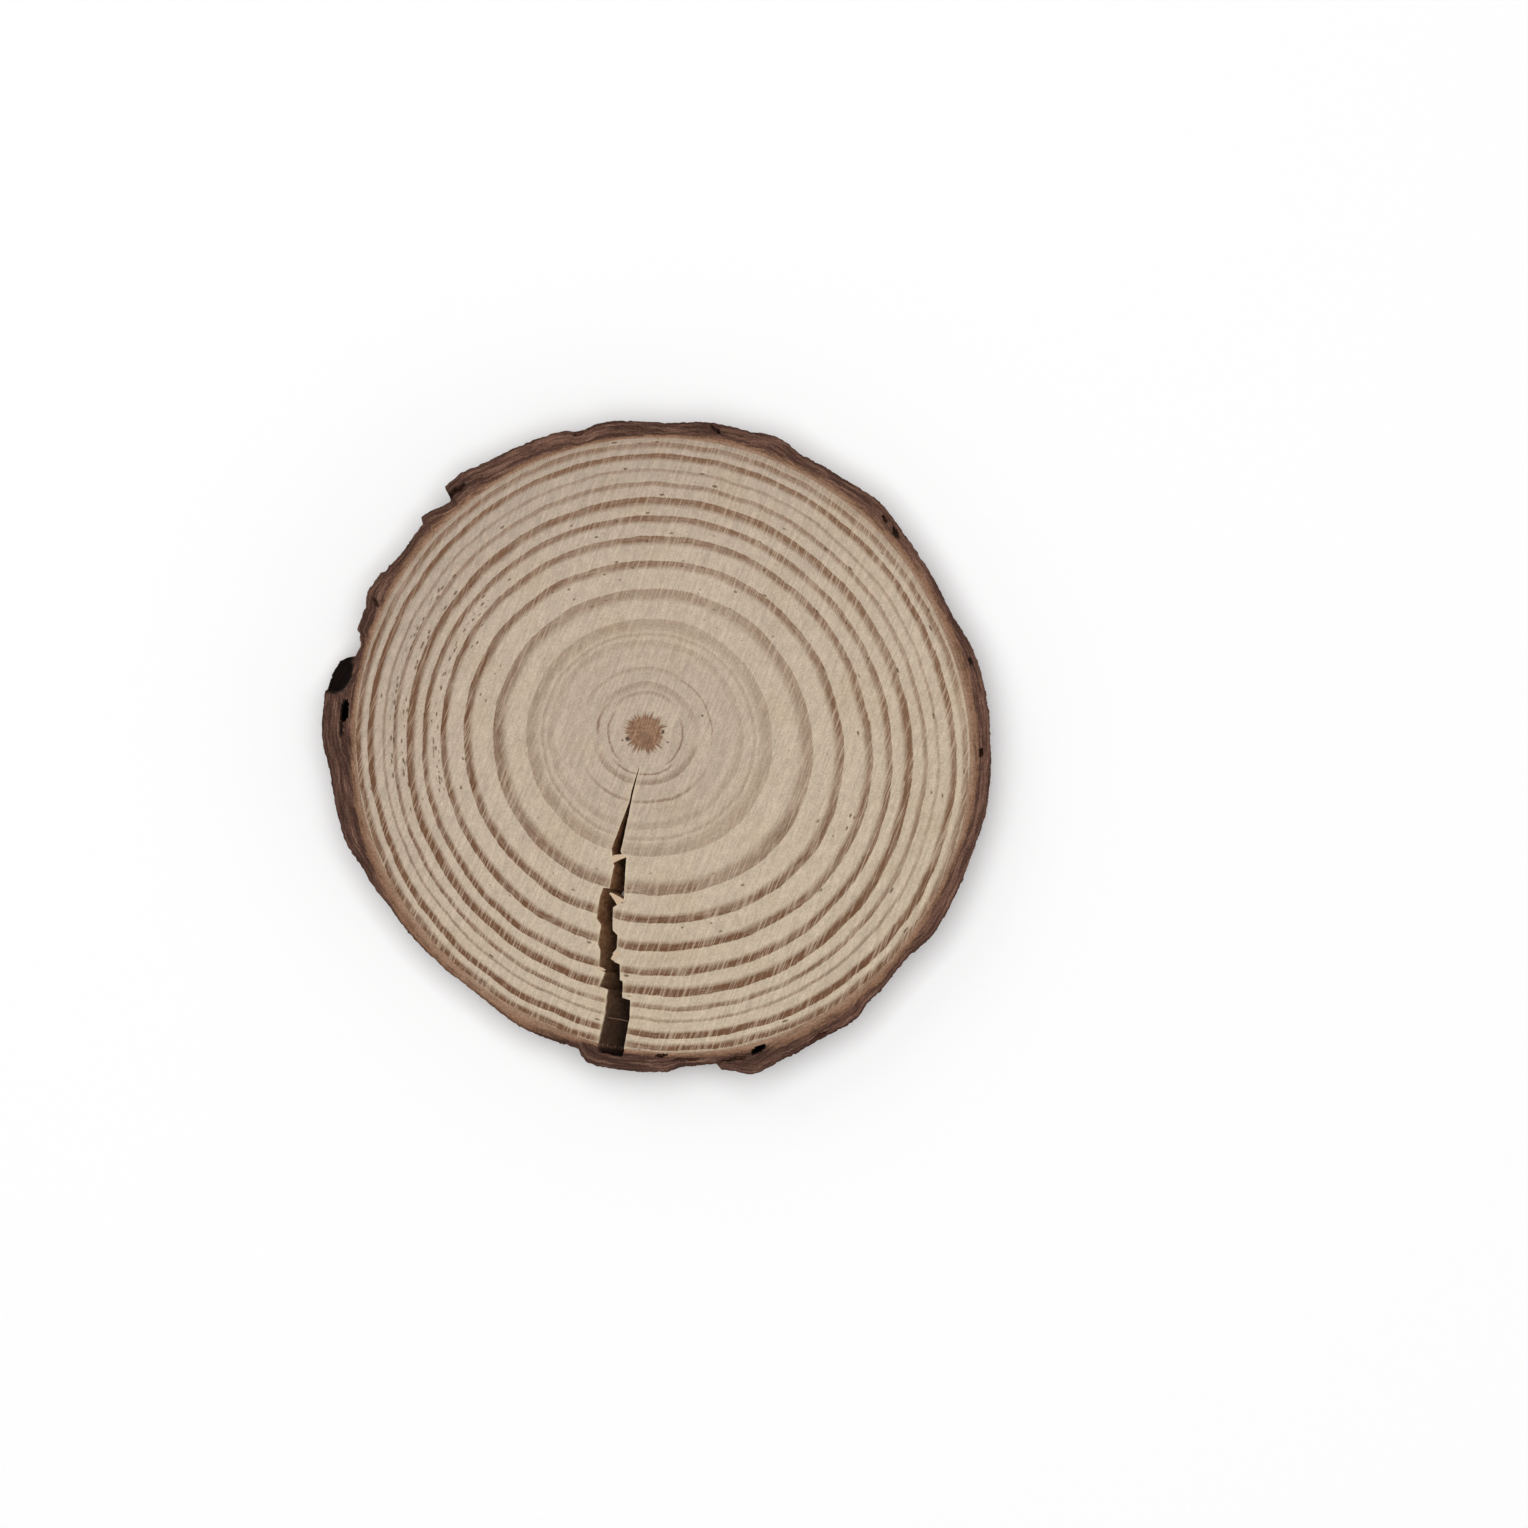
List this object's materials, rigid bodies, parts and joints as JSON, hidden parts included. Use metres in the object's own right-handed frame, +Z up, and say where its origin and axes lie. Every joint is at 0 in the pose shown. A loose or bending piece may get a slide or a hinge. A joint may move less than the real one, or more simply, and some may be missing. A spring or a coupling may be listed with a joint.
{
  "type": "wood slice",
  "caption": "Thin round slice sawn across a pine stem, with growth rings, a rim of rough bark and one drying crack from near the pith to the bark.",
  "frame": {"origin": "middle of the slice's outline, on its sawn underside", "axes": "+Z up through the thickness, along the grain of the stem; -Y towards the bark end of the crack"},
  "size_m": [0.1004, 0.0978, 0.01],
  "materials": {
    "pine_wood": "sawn end grain, dry and matt, with growth rings",
    "pine_bark": "dry matt bark in reddish brown layers"
  },
  "bodies": {
    "root": {"wood_slice": "pine_wood"}
  },
  "joints": []
}
